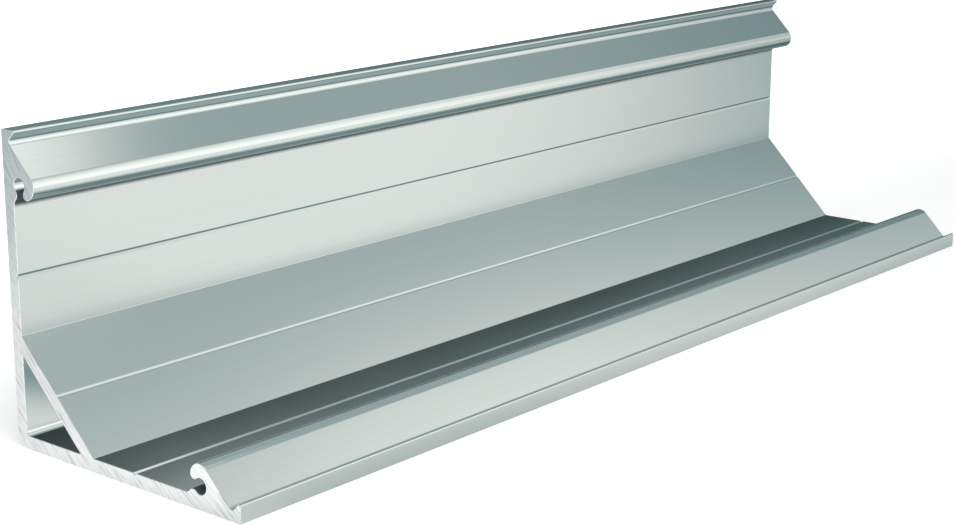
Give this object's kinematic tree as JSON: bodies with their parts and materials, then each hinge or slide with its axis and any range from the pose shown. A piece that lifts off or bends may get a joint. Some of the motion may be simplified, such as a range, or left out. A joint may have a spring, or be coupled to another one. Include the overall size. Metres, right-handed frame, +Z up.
{
  "type": "aluminium corner extrusion profile",
  "caption": "Right-angle corner extrusion with a slanted plate over a hollow chamber, and hooked leg ends that take a clip-in cover and end-cap screws.",
  "frame": {"origin": "bottom centre of the bounding box, on the lower leg's outer face", "axes": "+X along the length, +Z up, and the upright leg's outer face looks along +Y"},
  "size_m": [0.212, 0.05, 0.05],
  "materials": {
    "anodised_aluminium": "satin clear-anodised faces with fine lengthwise die lines, and saw-cut ends"
  },
  "bodies": {
    "root": {"corner_profile": "anodised_aluminium"}
  },
  "joints": []
}
